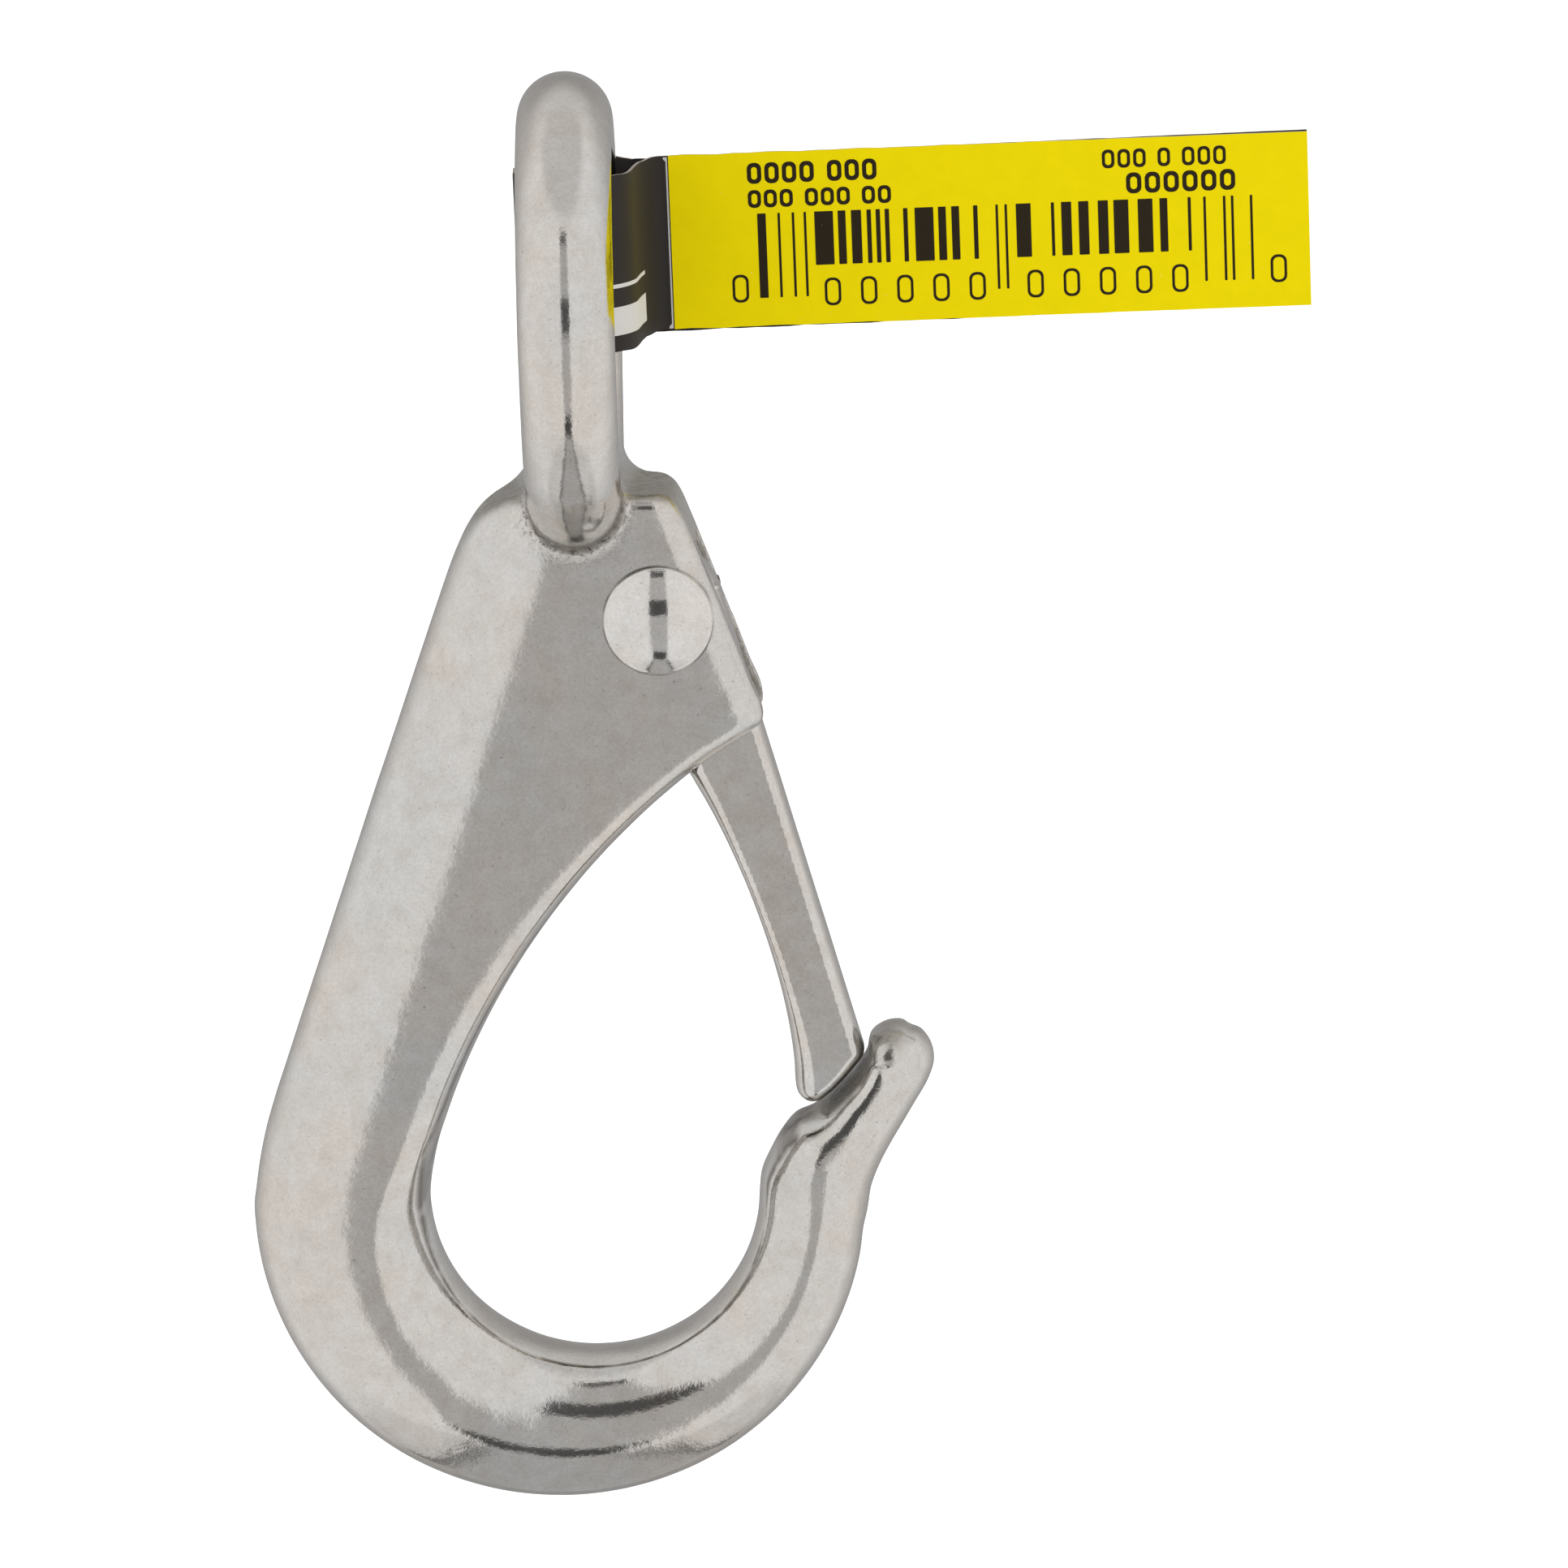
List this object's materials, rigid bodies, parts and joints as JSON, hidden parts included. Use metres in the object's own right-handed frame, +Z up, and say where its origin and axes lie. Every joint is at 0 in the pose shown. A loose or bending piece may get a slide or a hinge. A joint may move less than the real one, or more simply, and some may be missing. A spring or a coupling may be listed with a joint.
{
  "type": "eye safety hook with sprung gate",
  "caption": "One-piece polished eye hook: round ring eye, slotted head, wide round bowl and upturned nose, sprung gate on a domed rivet, and a folded hang tag.",
  "frame": {"origin": "centre of the ring eye", "axes": "+Z up along the load line away from the bowl, +X from the back of the hook towards its nose, -Y the side of the large rivet head"},
  "size_m": [0.0693, 0.0309, 0.092],
  "materials": {
    "body_steel": "polished cast steel with fine pits",
    "gate_steel": "satin",
    "rivet_steel": "polished",
    "spring_steel": "drawn wire",
    "tag_card": "matt printed film"
  },
  "bodies": {
    "hook": {"hook_body": "body_steel", "rivet": "rivet_steel"},
    "gate_arm": {"gate": "gate_steel", "gate_spring": "spring_steel"},
    "tag": {"hang_tag": "tag_card"}
  },
  "joints": [
    {"name": "gate_hinge", "type": "hinge", "parent": "hook", "child": "gate_arm", "pos_m": [0.005, 0, -0.0188], "axis": [0, 1, 0], "range_deg": [0, 32], "stiffness_Nm_per_rad": 0.03, "springref_deg": -28.65, "deforming": ["gate_spring"]},
    {"name": "tag_round_ring", "type": "hinge", "parent": "hook", "child": "tag", "pos_m": [0, 0, 0], "axis": [1, 0, 0], "range_deg": [-20, 180]}
  ]
}
